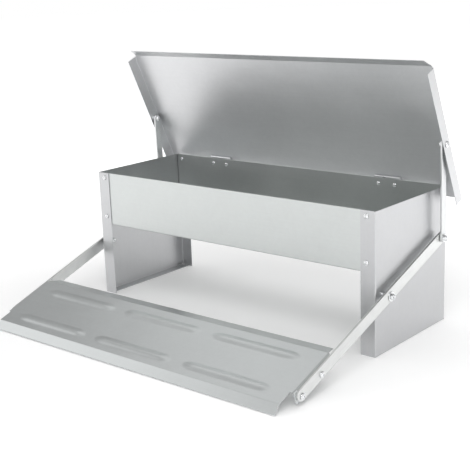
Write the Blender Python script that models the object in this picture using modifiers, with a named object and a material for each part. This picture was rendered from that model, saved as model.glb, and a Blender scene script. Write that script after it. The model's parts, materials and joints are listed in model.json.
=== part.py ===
"""Treadle poultry feeder: a raised sheet-metal trough whose lid lifts when a bird stands on the treadle.

Frame: X to the right, Y to the back, Z up. The origin lies on the ground, under the centre of the
feeder's bounding box. The pieces hang on an empty at the front face of the housing, and their places
are counted from there. The feeder is modelled open, with the lip of the treadle on the ground.
"""

import math

import bmesh
import bpy
from mathutils import Euler, Matrix, Vector

# Sheet metal and clearances
SHEET = 0.0010
BAR = 0.0030
GAP = 0.0003
HOLE_CLEARANCE = 0.0003
SEGMENTS = 14

# Housing
WIDTH = 0.600
DEPTH = 0.216
HEIGHT = 0.231
POST_FLANGE = 0.027
REAR_FLANGE = 0.025
FOOT_FLANGE = 0.018
FOOT_INSET = 0.004
BEND_RADIUS = 0.0020
TROUGH_BOTTOM = 0.134
POST_SCREW_INSET = 0.0165
REAR_RIVET_INSET = 0.0130
SCREW_BELOW_TOP = 0.009
SCREW_ABOVE_TROUGH = 0.0155

# Hinges
HINGE_X = 0.187
HINGE_WIDTH = 0.050
LEAF_DEPTH = 0.020
KNUCKLE_RADIUS = 0.0028
PIN_RADIUS = 0.0013
HINGE_RISE = 0.0015
HINGE_RIVET_SPACING = 0.032
HINGE_RIVET_FROM_AXIS = 0.0115

# Lid
LID_SIDE_OVERHANG = 0.020
LID_FRONT_OVERHANG = 0.001
LID_REAR = 0.028
LID_FLANGE = 0.021
LID_LIP = 0.018
LID_LIP_ANGLE = math.radians(36)
LID_LIP_TAPER = 0.006
LID_CORNER_GAP = 0.003
LID_OPEN = math.radians(65.5)

# Treadle
PIVOT_Y = 0.026
PIVOT_Z = 0.0945
TREADLE_SIDE = 0.008
TREADLE_REAR = 0.165
TREADLE_LENGTH = 0.118
TREADLE_ABOVE_PIVOT = 0.015
TREADLE_FLANGE = 0.021
TREADLE_FLANGE_LENGTH = 0.092
TREADLE_NOTCH = 0.006
TREADLE_LIP = 0.018
TREADLE_LIP_ANGLE = math.radians(33)
TREADLE_STRIP = 0.025
TREADLE_STRIP_ANGLE = math.radians(27)
TREADLE_STRIP_MITRE = 0.008
RIB_LENGTH = 0.160
RIB_WIDTH = 0.011
RIB_HEIGHT = 0.0022
RIB_PITCH = 0.190
RIB_ROWS = (0.024, 0.097)
RIB_SECTION = ((0.0, 1.0), (0.65, 0.75), (1.0, 0.3))
TREADLE_BOLTS = (0.0305, 0.0795)
GROUND_CLEARANCE = 0.0003

# Linkage
ARM_WIDTH = 0.020
ARM_RISE = 0.003
ARM_END = 0.010
ROD_WIDTH = 0.014
LINK_AHEAD_OF_HINGE = 0.037
LID_LINK_REACH = 0.084
LID_LINK_DEPTH = 0.011
ROD_SPACE = 0.0013

# Fasteners
SCREW_RADIUS = 0.0020
SCREW_HEAD_RADIUS = 0.0042
SCREW_HEAD = 0.0022
SCREW_LENGTH = 0.007
RIVET_RADIUS = 0.0016
RIVET_HEAD_RADIUS = 0.0034
RIVET_HEAD = 0.0014
RIVET_TAIL = 0.0013
BOLT_RADIUS = 0.0025
BOLT_HEAD_RADIUS = 0.0052
BOLT_HEAD = 0.0028
NUT_RADIUS = 0.0050
NUT = 0.0040
BOLT_END = 0.0008
WASHER_RADIUS = 0.0080
WASHER = 0.0012
SPACER_RADIUS = 0.0055
RIVET_TAIL_RADIUS = 0.0027
RIVET_TAIL_TAPER = 0.75
HEAD_RIM = 0.35
DOME_ANGLES = (0.5, 1.0, math.pi / 2)
CAP_FLANGE_RADIUS = 0.0068
CAP_TOP_RADIUS = 0.0040

# Lengths of the tools that cut the holes, longer than the metal is thick
SHEET_CUT = 0.010
LEAF_CUT = 0.006

# Places worked out from the sizes above
HALF = WIDTH / 2
WALL_FRONT = SHEET + GAP
WALL_REAR = DEPTH - SHEET - GAP
HINGE_Y = WALL_REAR + GAP + KNUCKLE_RADIUS
HINGE_Z = HEIGHT + HINGE_RISE
LEAF = KNUCKLE_RADIUS - PIN_RADIUS - GAP
LID_TOP = KNUCKLE_RADIUS + GAP + SHEET
LID_HALF = HALF + LID_SIDE_OVERHANG
LID_FRONT = HINGE_Y + LID_FRONT_OVERHANG
TREADLE_HALF = HALF + TREADLE_SIDE
ARM_X = TREADLE_HALF + GAP
ROD_X = ARM_X + BAR + ROD_SPACE
LINK_Y = HINGE_Y - LINK_AHEAD_OF_HINGE


def ground_angle():
    """The slope of the lever that rests the lower edge of the treadle's lip on the ground."""
    lip_y = TREADLE_REAR + TREADLE_LENGTH + TREADLE_LIP * math.cos(TREADLE_LIP_ANGLE)
    lip_y -= SHEET * math.sin(TREADLE_LIP_ANGLE)
    lip_z = TREADLE_ABOVE_PIVOT - TREADLE_LIP * math.sin(TREADLE_LIP_ANGLE)
    lip_z -= SHEET * math.cos(TREADLE_LIP_ANGLE)
    reach = math.hypot(lip_y, lip_z)
    return math.asin((PIVOT_Z - GROUND_CLEARANCE) / reach) + math.atan2(lip_z, lip_y)


LEVER_SLOPE = ground_angle()


def lever_rear():
    """Distance along the lever from its pivot to the lower link, which stands at LINK_Y."""
    return (LINK_Y - PIVOT_Y + ARM_RISE * math.sin(LEVER_SLOPE)) / math.cos(LEVER_SLOPE)


LEVER_REAR = lever_rear()


def turned_about_x(y, z, angle):
    """The point (y, z) turned by angle about the X axis."""
    return (y * math.cos(angle) - z * math.sin(angle), y * math.sin(angle) + z * math.cos(angle))


def lower_link():
    """World place of the joint between the lever and a push rod."""
    y, z = turned_about_x(LEVER_REAR, ARM_RISE, LEVER_SLOPE)
    return PIVOT_Y + y, PIVOT_Z + z


def upper_link():
    """World place of the joint between a push rod and the open lid."""
    y, z = turned_about_x(-LID_LINK_REACH, LID_TOP - LID_LINK_DEPTH, -LID_OPEN)
    return HINGE_Y + y, HINGE_Z + z


def origin_offset():
    """Distance from the middle of the open feeder, front to back, to the front face of the housing."""
    reach = TREADLE_REAR + TREADLE_LENGTH + TREADLE_LIP * math.cos(TREADLE_LIP_ANGLE)
    drop = TREADLE_ABOVE_PIVOT - TREADLE_LIP * math.sin(TREADLE_LIP_ANGLE)
    front = PIVOT_Y + turned_about_x(-reach, drop, LEVER_SLOPE)[0]
    rear = HINGE_Y + turned_about_x(LID_REAR, LID_TOP, -LID_OPEN)[0]
    return -(front + rear) / 2


def clear_scene():
    for thing in list(bpy.data.objects):
        bpy.data.objects.remove(thing, do_unlink=True)


def new_collection(name):
    group = bpy.data.collections.new(name)
    bpy.context.scene.collection.children.link(group)
    return group


def material(name, colour, roughness, metallic=0.9):
    finish = bpy.data.materials.new(name)
    finish.use_nodes = True
    shader = finish.node_tree.nodes["Principled BSDF"]
    shader.inputs["Base Color"].default_value = (*colour, 1.0)
    shader.inputs["Roughness"].default_value = roughness
    shader.inputs["Metallic"].default_value = metallic
    finish.diffuse_color = (*colour, 1.0)
    return finish


def empty(name, location, angle=0.0, parent=None):
    """An empty on a joint's axis; location is in the parent's frame, or in the housing's."""
    axis = bpy.data.objects.new(name, None)
    axis.empty_display_size = PIN_RADIUS * 10
    axis.location = location
    axis.rotation_euler = Euler((angle, 0, 0))
    axis.parent = parent or FEEDER
    PARTS.objects.link(axis)
    return axis


def add_object(name, mesh, group, finish=None, parent=None, matrix=None):
    thing = bpy.data.objects.new(name, mesh)
    thing.parent = parent or FEEDER
    if matrix is not None:
        thing.matrix_local = matrix
    if finish is not None:
        mesh.materials.append(finish)
    group.objects.link(thing)
    return thing


def mesh_from(bm, name, flip_x=False):
    """Turns the bmesh into a mesh, mirrored across the middle plane when flip_x is set."""
    if flip_x:
        bmesh.ops.scale(bm, vec=(-1, 1, 1), verts=bm.verts)
        bmesh.ops.reverse_faces(bm, faces=bm.faces)
    mesh = bpy.data.meshes.new(name)
    bm.to_mesh(mesh)
    bm.free()
    return mesh


def thicken(thing, thickness, offset):
    solid = thing.modifiers.new("thickness", "SOLIDIFY")
    solid.thickness = thickness
    solid.offset = offset
    solid.use_even_offset = True


def sweep(bm, path, low, high, along):
    """Adds the open surface that a path leaves when it moves along an axis.

    The path is in the (y, z) plane for along X, and in the (x, y) plane for along Z. The metal of the
    sheet later lies to the left of the path. Returns the points at the low end and at the high end.
    """
    place = {"X": lambda u, v, w: (w, u, v), "Z": lambda u, v, w: (u, v, w)}[along]
    ends = [[bm.verts.new(place(u, v, w)) for u, v in path] for w in (low, high)]
    for a, b, c, d in zip(ends[0], ends[0][1:], ends[1][1:], ends[1]):
        bm.faces.new((a, b, c, d))
    return ends


def fold(bm, first, last, first_step, last_step):
    """Adds a flange on the edge from first to last, each end moved by its own step."""
    outer_last = bm.verts.new(last.co + Vector(last_step))
    outer_first = bm.verts.new(first.co + Vector(first_step))
    bm.faces.new((first, last, outer_last, outer_first))
    return outer_first, outer_last


def rounded(path, radius, steps=3):
    """The path with each inner corner replaced by an arc."""
    out = [Vector(path[0])]
    for before, corner, after in zip(path, path[1:], path[2:]):
        corner = Vector(corner)
        back = (Vector(before) - corner).normalized()
        ahead = (Vector(after) - corner).normalized()
        half = back.angle(ahead) / 2
        centre = corner + (back + ahead).normalized() * radius / math.sin(half)
        start = corner + back * radius / math.tan(half) - centre
        end = corner + ahead * radius / math.tan(half) - centre
        for k in range(steps + 1):
            out.append(centre + start.slerp(end, k / steps) * radius)
    out.append(Vector(path[-1]))
    return out


def circle(centre, radius, steps=SEGMENTS):
    angles = [2 * math.pi * k / steps for k in range(steps)]
    return [(centre[0] + radius * math.cos(a), centre[1] + radius * math.sin(a)) for a in angles]


def bar_outline(start, end, width, steps=8):
    """A straight bar with round ends about its two end centres, as a closed loop."""
    axis = math.atan2(end[1] - start[1], end[0] - start[0])
    loop = []
    for (y, z), facing in ((end, axis), (start, axis + math.pi)):
        for k in range(steps + 1):
            angle = facing - math.pi / 2 + math.pi * k / steps
            loop.append((y + width / 2 * math.cos(angle), z + width / 2 * math.sin(angle)))
    return loop


def flat_piece(name, loops, thickness, x, finish, parent):
    """A plate that stands across the X axis: an outline and its holes in (y, z), from x to x + thickness."""
    bm = bmesh.new()
    edges = []
    for loop in loops:
        points = [bm.verts.new((x + thickness / 2, y, z)) for y, z in loop]
        edges += [bm.edges.new((a, b)) for a, b in zip(points, points[1:] + points[:1])]
    bmesh.ops.triangle_fill(bm, edges=edges, use_beauty=True)
    bmesh.ops.recalc_face_normals(bm, faces=bm.faces)
    thing = add_object(name, mesh_from(bm, name), PARTS, finish, parent)
    thicken(thing, thickness, 0)
    return thing


def turned(name, profile, place, direction, finish, parent=None):
    """A round piece: profile holds (radius, height) pairs from the top down, and direction is its top."""
    mesh = bpy.data.meshes.new(name)
    points = [(radius, 0, height) for radius, height in profile]
    closed = profile[0][0] > 0
    edges = [(k, k + 1) for k in range(len(points) - 1)]
    if closed:
        edges.append((len(points) - 1, 0))
    mesh.from_pydata(points, edges, [])
    spin = Vector(direction).to_track_quat("Z", "Y").to_matrix().to_4x4()
    thing = add_object(name, mesh, PARTS, finish, parent, Matrix.Translation(place) @ spin)
    screw = thing.modifiers.new("turn", "SCREW")
    screw.steps = SEGMENTS
    screw.render_steps = SEGMENTS
    screw.use_merge_vertices = True
    screw.merge_threshold = 0.00001
    screw.use_smooth_shade = False
    return thing


def domed_head(radius, height):
    """Profile of a round head above height 0: a dome on a straight rim."""
    dome = height * (1 - HEAD_RIM)
    points = [(0, height)]
    for angle in DOME_ANGLES:
        points.append((radius * math.sin(angle), height - dome + dome * math.cos(angle)))
    return points + [(radius, 0)]


def domed_fastener(head_radius, head, radius, length):
    """Profile of a screw or bolt with its head above height 0 and its shank below."""
    return domed_head(head_radius, head) + [(radius, 0), (radius, -length), (0, -length)]


def rivet_profile(grip):
    """Profile of a rivet set through metal of the given thickness, gaps included."""
    tail = (RIVET_TAIL_RADIUS * RIVET_TAIL_TAPER, -grip - RIVET_TAIL)
    shank = [(RIVET_RADIUS, 0), (RIVET_RADIUS, -grip), (RIVET_TAIL_RADIUS, -grip)]
    return domed_head(RIVET_HEAD_RADIUS, RIVET_HEAD) + shank + [tail, (0, tail[1])]


def ring(outer, inner, height):
    """Profile of a washer or spacer that stands on height 0."""
    return [(outer, height), (outer, 0), (inner, 0), (inner, height)]


def cutter(name, bm, parent=None):
    thing = add_object(name, mesh_from(bm, name), CUTTERS, parent=parent)
    thing.hide_render = True
    thing.display_type = "WIRE"
    return thing


def boolean(thing, other, operation="DIFFERENCE"):
    step = thing.modifiers.new(other.name, "BOOLEAN")
    step.operation = operation
    step.solver = "EXACT"
    step.object = other


def drill(thing, holes, depth=SHEET_CUT):
    """Cuts round clearance holes, each (place, shank radius, direction) in the parent's frame."""
    bm = bmesh.new()
    for place, radius, direction in holes:
        spin = Vector(direction).to_track_quat("Z", "Y").to_matrix().to_4x4()
        clear = radius + HOLE_CLEARANCE
        bmesh.ops.create_cone(
            bm, cap_ends=True, segments=SEGMENTS, radius1=clear, radius2=clear, depth=depth,
            matrix=Matrix.Translation(place) @ spin,
        )
    boolean(thing, cutter(thing.name + "_holes", bm, thing.parent))


def metal_below(bm):
    """Turns every face of a folded sheet to the same side, up, so that its metal lies underneath."""
    bmesh.ops.recalc_face_normals(bm, faces=bm.faces)
    if sum(face.normal.z for face in bm.faces) < 0:
        bmesh.ops.reverse_faces(bm, faces=bm.faces)


def box(bm, low, high):
    size = Vector(high) - Vector(low)
    centre = (Vector(high) + Vector(low)) / 2
    bmesh.ops.create_cube(bm, size=1, matrix=Matrix.Translation(centre) @ Matrix.Diagonal((*size, 1)))


def corner_places(x, y):
    """The upper and the lower fastener that hold the trough to a flange."""
    return [(x, y, HEIGHT - SCREW_BELOW_TOP), (x, y, TROUGH_BOTTOM + SCREW_ABOVE_TROUGH)]


def post_screw_places(side):
    return corner_places(side * (HALF - POST_SCREW_INSET), 0)


def rear_rivet_places(side):
    return corner_places(side * (HALF - REAR_RIVET_INSET), DEPTH)


def hinge_rivet_xs(side):
    return [side * (HINGE_X + step * HINGE_RIVET_SPACING / 2) for step in (-1, 1)]


def housing_holes(side):
    """The holes that the screws and rivets of one side need in the side panel and in the trough."""
    screws = [(place, SCREW_RADIUS, (0, 1, 0)) for place in post_screw_places(side)]
    rivets = [(place, RIVET_RADIUS, (0, 1, 0)) for place in rear_rivet_places(side)]
    return screws + rivets


def side_panel(side, label):
    """One end of the housing: a channel with post, rear and foot flanges."""
    bm = bmesh.new()
    path = rounded(
        [(HALF - POST_FLANGE, 0), (HALF, 0), (HALF, DEPTH), (HALF - REAR_FLANGE, DEPTH)], BEND_RADIUS
    )
    middle = len(path) // 2
    path[middle:middle] = [Vector((HALF, FOOT_INSET)), Vector((HALF, DEPTH - FOOT_INSET))]
    foot, _top = sweep(bm, path, 0, HEIGHT, "Z")
    step = (-FOOT_FLANGE, 0, 0)
    fold(bm, foot[middle + 1], foot[middle], step, step)
    name = "side_panel_" + label
    panel = add_object(name, mesh_from(bm, name, side < 0), PARTS, SIDE_SHEET)
    thicken(panel, SHEET, -1)
    pivot_hole = ((side * HALF, PIVOT_Y, PIVOT_Z), BOLT_RADIUS, (1, 0, 0))
    drill(panel, housing_holes(side) + [pivot_hole])


def trough():
    """Front wall, floor and back wall, folded from one sheet between the side panels."""
    bm = bmesh.new()
    half = HALF - BEND_RADIUS - GAP
    path = rounded(
        [
            (WALL_FRONT, HEIGHT),
            (WALL_FRONT, TROUGH_BOTTOM),
            (WALL_REAR, TROUGH_BOTTOM),
            (WALL_REAR, HEIGHT),
        ],
        BEND_RADIUS,
    )
    sweep(bm, path, -half, half, "X")
    body = add_object("trough", mesh_from(bm, "trough"), PARTS, FRONT_SHEET)
    thicken(body, SHEET, -1)
    holes = []
    for side in (1, -1):
        holes += housing_holes(side)
        for x in hinge_rivet_xs(side):
            holes.append(((x, DEPTH, HINGE_Z - HINGE_RIVET_FROM_AXIS), RIVET_RADIUS, (0, 1, 0)))
    drill(body, holes)


def housing_fasteners(side, label):
    screw = domed_fastener(SCREW_HEAD_RADIUS, SCREW_HEAD, SCREW_RADIUS, SCREW_LENGTH)
    for level, (x, _y, z) in zip(("upper", "lower"), post_screw_places(side)):
        turned(f"post_screw_{label}_{level}", screw, (x, -GAP, z), (0, -1, 0), BRIGHT)
    rivet = rivet_profile(2 * SHEET + 3 * GAP)
    inner = WALL_REAR - SHEET - GAP
    for level, (x, _y, z) in zip(("upper", "lower"), rear_rivet_places(side)):
        turned(f"rear_rivet_{label}_{level}", rivet, (x, inner, z), (0, -1, 0), BRIGHT)


def leaf_outline():
    """Section of a hinge leaf about the pin: a flat leaf that hangs below its knuckle."""
    inner = KNUCKLE_RADIUS - LEAF
    start = math.atan2(-math.sqrt(KNUCKLE_RADIUS**2 - inner**2), -inner)
    steps = 14
    arc = [start + (math.pi - start) * k / steps for k in range(steps + 1)]
    loop = [(-KNUCKLE_RADIUS, -LEAF_DEPTH), (-inner, -LEAF_DEPTH)]
    return loop + [(KNUCKLE_RADIUS * math.cos(a), KNUCKLE_RADIUS * math.sin(a)) for a in arc]


def hinge(side, label, lid_axis):
    """A butt hinge: one leaf on the back wall, one under the rear edge of the lid, and the pin."""
    low = side * HINGE_X - HINGE_WIDTH / 2
    third = HINGE_WIDTH / 3
    reach = KNUCKLE_RADIUS + GAP
    bore = circle((0, 0), PIN_RADIUS + GAP, 12)
    body_axis = empty(f"hinge_{label}_pin_line", (0, HINGE_Y, HINGE_Z))
    hanging = leaf_outline()
    fixed = flat_piece(
        f"hinge_{label}_body_leaf", [hanging, bore], HINGE_WIDTH, low, BRIGHT, body_axis
    )
    bm = bmesh.new()
    box(bm, (low + third - GAP, -reach, -reach), (low + 2 * third + GAP, reach, reach))
    boolean(fixed, cutter(fixed.name + "_notch", bm, body_axis))
    lying = [(-z, -y) for y, z in hanging]
    moving = flat_piece(
        f"hinge_{label}_lid_leaf", [lying, bore], HINGE_WIDTH, low, BRIGHT, lid_axis
    )
    bm = bmesh.new()
    box(bm, (low - GAP, -reach, -reach), (low + third, reach, reach))
    box(bm, (low + 2 * third, -reach, -reach), (low + HINGE_WIDTH + GAP, reach, reach))
    boolean(moving, cutter(moving.name + "_notches", bm, lid_axis))
    length = HINGE_WIDTH + 2 * GAP
    pin = [(0, length), (PIN_RADIUS, length), (PIN_RADIUS, 0), (0, 0)]
    turned(f"hinge_{label}_pin", pin, (low - GAP, HINGE_Y, HINGE_Z), (1, 0, 0), BRIGHT)
    rivet = rivet_profile(SHEET + LEAF + 3 * GAP)
    xs = hinge_rivet_xs(side)
    down = -HINGE_RIVET_FROM_AXIS
    drill(fixed, [((x, -KNUCKLE_RADIUS, down), RIVET_RADIUS, (0, 1, 0)) for x in xs], LEAF_CUT)
    drill(moving, [((x, -down, KNUCKLE_RADIUS), RIVET_RADIUS, (0, 0, 1)) for x in xs], LEAF_CUT)
    for end, x in zip(("inner", "outer"), xs):
        place = (x, WALL_REAR - SHEET - GAP, HINGE_Z + down)
        turned(f"hinge_{label}_body_rivet_{end}", rivet, place, (0, -1, 0), BRIGHT)
        place = (x, -down, LID_TOP + GAP)
        turned(f"hinge_{label}_lid_rivet_{end}", rivet, place, (0, 0, 1), BRIGHT, lid_axis)


def lid(lid_axis):
    """The lid, in the frame of the hinge axis with the lid shut: plate, side flanges and front lip."""
    bm = bmesh.new()
    ys = (LID_REAR, -LID_FRONT + LID_CORNER_GAP, -LID_FRONT)
    left, right = sweep(bm, [(y, LID_TOP) for y in ys], -LID_HALF, LID_HALF, "X")
    down = (0, 0, -LID_FLANGE)
    fold(bm, left[1], left[0], down, down)
    fold(bm, right[0], right[1], down, down)
    reach = -LID_LIP * math.cos(LID_LIP_ANGLE)
    drop = -LID_LIP * math.sin(LID_LIP_ANGLE)
    fold(bm, right[2], left[2], (-LID_LIP_TAPER, reach, drop), (LID_LIP_TAPER, reach, drop))
    metal_below(bm)
    panel = add_object("lid", mesh_from(bm, "lid"), PARTS, LID_SHEET, lid_axis)
    thicken(panel, SHEET, -1)
    holes = []
    for side in (1, -1):
        for x in hinge_rivet_xs(side):
            holes.append(((x, HINGE_RIVET_FROM_AXIS, LID_TOP), RIVET_RADIUS, (0, 0, 1)))
        link = (side * LID_HALF, -LID_LINK_REACH, LID_TOP - LID_LINK_DEPTH)
        holes.append((link, BOLT_RADIUS, (1, 0, 0)))
    drill(panel, holes)


def rib(bm, x, y, z):
    """A long rounded rib: the hull of two low domes, sunk a little into the plate."""
    section = [(-SHEET / 2, 1.0)] + [(RIB_HEIGHT * rise, share) for rise, share in RIB_SECTION]
    points = []
    for end in (-1, 1):
        centre = x + end * (RIB_LENGTH - RIB_WIDTH) / 2
        for height, share in section:
            for px, py in circle((centre, y), RIB_WIDTH / 2 * share, 12):
                points.append(bm.verts.new((px, py, z + height)))
    bmesh.ops.convex_hull(bm, input=points)


def treadle(lever_axis):
    """The treadle, in the frame of the lever: plate with ribs, bent rear strip, lip and side flanges."""
    bm = bmesh.new()
    rear = -TREADLE_REAR
    front = rear - TREADLE_LENGTH
    notch = rear - TREADLE_FLANGE_LENGTH
    top = TREADLE_ABOVE_PIVOT
    narrow = TREADLE_HALF - TREADLE_NOTCH
    rims = []
    for side in (-1, 1):
        outline = ((TREADLE_HALF, rear), (TREADLE_HALF, notch), (narrow, notch), (narrow, front))
        rims.append([bm.verts.new((side * x, y, top)) for x, y in outline])
    left, right = rims
    bm.faces.new(left[:3] + right[2::-1])
    bm.faces.new((left[2], left[3], right[3], right[2]))
    down = (0, 0, -TREADLE_FLANGE)
    fold(bm, left[1], left[0], down, down)
    fold(bm, right[0], right[1], down, down)
    reach = -TREADLE_LIP * math.cos(TREADLE_LIP_ANGLE)
    drop = -TREADLE_LIP * math.sin(TREADLE_LIP_ANGLE)
    fold(bm, right[3], left[3], (0, reach, drop), (0, reach, drop))
    back = TREADLE_STRIP * math.cos(TREADLE_STRIP_ANGLE)
    sink = -TREADLE_STRIP * math.sin(TREADLE_STRIP_ANGLE)
    mitre = TREADLE_STRIP_MITRE
    fold(bm, left[0], right[0], (mitre, back, sink), (-mitre, back, sink))
    metal_below(bm)
    step = add_object("treadle", mesh_from(bm, "treadle"), PARTS, TREADLE_SHEET, lever_axis)
    thicken(step, SHEET, -1)
    bm = bmesh.new()
    for row in RIB_ROWS:
        for column in (-1, 0, 1):
            rib(bm, column * RIB_PITCH, rear - row, top)
    boolean(step, cutter("treadle_ribs", bm, lever_axis), "UNION")
    places = [(side * TREADLE_HALF, rear - along, 0) for side in (1, -1) for along in TREADLE_BOLTS]
    drill(step, [(place, BOLT_RADIUS, (1, 0, 0)) for place in places])


def nut(name, x, y, z, side, finish, parent):
    """A hexagon nut from x outwards on its side, with the bore that its bolt needs."""
    low = x if side > 0 else x - NUT
    loops = [circle((y, z), NUT_RADIUS, 6), circle((y, z), BOLT_RADIUS + HOLE_CLEARANCE)]
    flat_piece(name, loops, NUT, low, finish, parent)


def bolt_profile(length):
    return domed_fastener(BOLT_HEAD_RADIUS, BOLT_HEAD, BOLT_RADIUS, length)


def lever(side, label, lever_axis):
    """The arm beside the housing with its pivot, and the bolts that hold the treadle to it."""
    front = -TREADLE_REAR - TREADLE_BOLTS[1]
    link = (LEVER_REAR, ARM_RISE)
    holes = [(-TREADLE_REAR - along, 0) for along in TREADLE_BOLTS] + [(0, 0), link]
    loops = [bar_outline((front - ARM_END + ARM_WIDTH / 2, ARM_RISE), link, ARM_WIDTH)]
    loops += [circle(spot, BOLT_RADIUS + HOLE_CLEARANCE) for spot in holes]
    low = ARM_X if side > 0 else -ARM_X - BAR
    flat_piece(f"lever_arm_{label}", loops, BAR, low, ZINC, lever_axis)
    out = Vector((side, 0, 0))
    for place, along in zip(("rear", "front"), TREADLE_BOLTS):
        y = -TREADLE_REAR - along
        grip = SHEET + BAR + NUT + 4 * GAP + BOLT_END
        turned(
            f"treadle_bolt_{label}_{place}", bolt_profile(grip),
            (side * (ARM_X + BAR + GAP), y, 0), out, BRIGHT, lever_axis,
        )
        nut(
            f"treadle_nut_{label}_{place}", side * (TREADLE_HALF - SHEET - GAP - NUT), y, 0, side,
            BRIGHT, lever_axis,
        )


def pivot(side, label):
    """Bolt, spacer, washer and nut on which the lever turns, fixed in the side panel."""
    out = Vector((side, 0, 0))
    bore = BOLT_RADIUS + HOLE_CLEARANCE
    head = HALF - SHEET - GAP
    washer = ARM_X + BAR + GAP
    outer = washer + WASHER + GAP
    at = (PIVOT_Y, PIVOT_Z)
    turned(
        f"pivot_bolt_{label}", bolt_profile(outer + NUT + BOLT_END - head), (side * head, *at),
        -out, BRIGHT,
    )
    turned(
        f"pivot_spacer_{label}", ring(SPACER_RADIUS, bore, ARM_X - HALF - 2 * GAP),
        (side * (HALF + GAP), *at), out, BRIGHT,
    )
    turned(f"pivot_washer_{label}", ring(WASHER_RADIUS, bore, WASHER), (side * washer, *at), out, BRIGHT)
    nut(f"pivot_nut_{label}", side * outer, *at, side, BRIGHT, None)


def push_rod(side, label, lid_axis, lever_axis):
    """The rod from lever to lid. It hangs on the lid's bolt and meets the lever at the open joint."""
    out = Vector((side, 0, 0))
    upper = upper_link()
    lower = lower_link()
    run = (lower[0] - upper[0], lower[1] - upper[1])
    place = (0, -LID_LINK_REACH, LID_TOP - LID_LINK_DEPTH)
    rod_axis = empty(f"rod_axis_{label}", place, LID_OPEN, lid_axis)
    low = ROD_X if side > 0 else -ROD_X - BAR
    bore = BOLT_RADIUS + HOLE_CLEARANCE
    loops = [bar_outline((0, 0), run, ROD_WIDTH), circle((0, 0), bore), circle(run, bore)]
    flat_piece(f"push_rod_{label}", loops, BAR, low, ZINC, rod_axis)

    inside = ARM_X - GAP
    head = domed_fastener(BOLT_HEAD_RADIUS, BOLT_HEAD, BOLT_RADIUS, ROD_X - GAP - inside)
    place = (side * inside, LEVER_REAR, ARM_RISE)
    turned(f"lower_link_bolt_{label}", head, place, -out, BRIGHT, lever_axis)
    face = ROD_X + BAR + GAP
    cap = [
        (0, WASHER + NUT), (CAP_TOP_RADIUS, WASHER + NUT), (NUT_RADIUS, NUT), (NUT_RADIUS, WASHER),
        (CAP_FLANGE_RADIUS, WASHER), (CAP_FLANGE_RADIUS, 0), (BOLT_RADIUS, 0),
        (BOLT_RADIUS, -BAR - GAP), (0, -BAR - GAP),
    ]
    turned(f"lower_link_nut_{label}", cap, (side * face, *run), out, BRIGHT, rod_axis)

    lid_outer = LID_HALF + GAP
    lid_inner = LID_HALF - SHEET - GAP
    at = (-LID_LINK_REACH, LID_TOP - LID_LINK_DEPTH)
    nut_inner = ROD_X - GAP - NUT
    grip = lid_outer - nut_inner + BOLT_END
    bolt = bolt_profile(grip)
    turned(f"upper_link_bolt_{label}", bolt, (side * lid_outer, *at), out, BRIGHT, lid_axis)
    turned(
        f"upper_link_spacer_{label}", ring(SPACER_RADIUS, bore, lid_inner - face), (side * face, *at), out,
        BRIGHT, lid_axis,
    )
    nut(f"upper_link_nut_{label}", side * nut_inner, *at, side, BRIGHT, lid_axis)


clear_scene()
PARTS = new_collection("treadle_poultry_feeder")
CUTTERS = new_collection("cutters")
FEEDER = bpy.data.objects.new("feeder", None)
FEEDER.location = (0, origin_offset(), 0)
PARTS.objects.link(FEEDER)
FRONT_SHEET = material("galvanised_front", (0.66, 0.69, 0.68), 0.38)
SIDE_SHEET = material("galvanised_side", (0.60, 0.60, 0.61), 0.38)
LID_SHEET = material("galvanised_lid", (0.55, 0.56, 0.57), 0.34)
TREADLE_SHEET = material("galvanised_treadle", (0.50, 0.52, 0.52), 0.36)
ZINC = material("zinc_bar", (0.68, 0.69, 0.69), 0.30)
BRIGHT = material("zinc_fastener", (0.78, 0.79, 0.80), 0.22, 1.0)

LID_AXIS = empty("lid_axis", (0, HINGE_Y, HINGE_Z), -LID_OPEN)
LEVER_AXIS = empty("lever_axis", (0, PIVOT_Y, PIVOT_Z), LEVER_SLOPE)
trough()
lid(LID_AXIS)
treadle(LEVER_AXIS)
for SIDE, LABEL in ((1, "right"), (-1, "left")):
    side_panel(SIDE, LABEL)
    housing_fasteners(SIDE, LABEL)
    hinge(SIDE, LABEL, LID_AXIS)
    lever(SIDE, LABEL, LEVER_AXIS)
    pivot(SIDE, LABEL)
    push_rod(SIDE, LABEL, LID_AXIS, LEVER_AXIS)
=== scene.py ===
import json
import math

import bmesh
import bpy
from mathutils import Matrix, Vector


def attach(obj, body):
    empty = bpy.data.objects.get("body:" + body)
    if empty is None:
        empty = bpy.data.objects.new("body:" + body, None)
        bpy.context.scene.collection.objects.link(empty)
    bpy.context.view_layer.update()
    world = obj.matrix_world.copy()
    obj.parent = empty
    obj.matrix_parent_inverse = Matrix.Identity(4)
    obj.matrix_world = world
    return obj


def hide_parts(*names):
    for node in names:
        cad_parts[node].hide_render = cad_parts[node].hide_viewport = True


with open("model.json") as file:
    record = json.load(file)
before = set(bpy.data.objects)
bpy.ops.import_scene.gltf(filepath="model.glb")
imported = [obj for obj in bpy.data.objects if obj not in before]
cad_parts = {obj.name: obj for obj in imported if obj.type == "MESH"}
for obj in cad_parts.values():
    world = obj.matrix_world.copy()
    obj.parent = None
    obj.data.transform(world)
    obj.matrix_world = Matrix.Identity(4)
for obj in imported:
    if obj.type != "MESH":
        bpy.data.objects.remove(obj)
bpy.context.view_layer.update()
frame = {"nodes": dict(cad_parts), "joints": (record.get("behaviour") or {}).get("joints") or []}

# Sheet metal, in metres
SHEET = 0.0010
BEND = 0.0022
BEND_STEPS = 7
EDGE_BEVEL = 0.00018
PANEL_STEP = 0.030

# Tolerances, in metres: places this near count as one, a step smaller than a hair counts as none,
# and an added line stays clear of a bend
NEAR = 1e-6
HAIR = 1e-9
LINE_CLEARANCE = 1e-5

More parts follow.
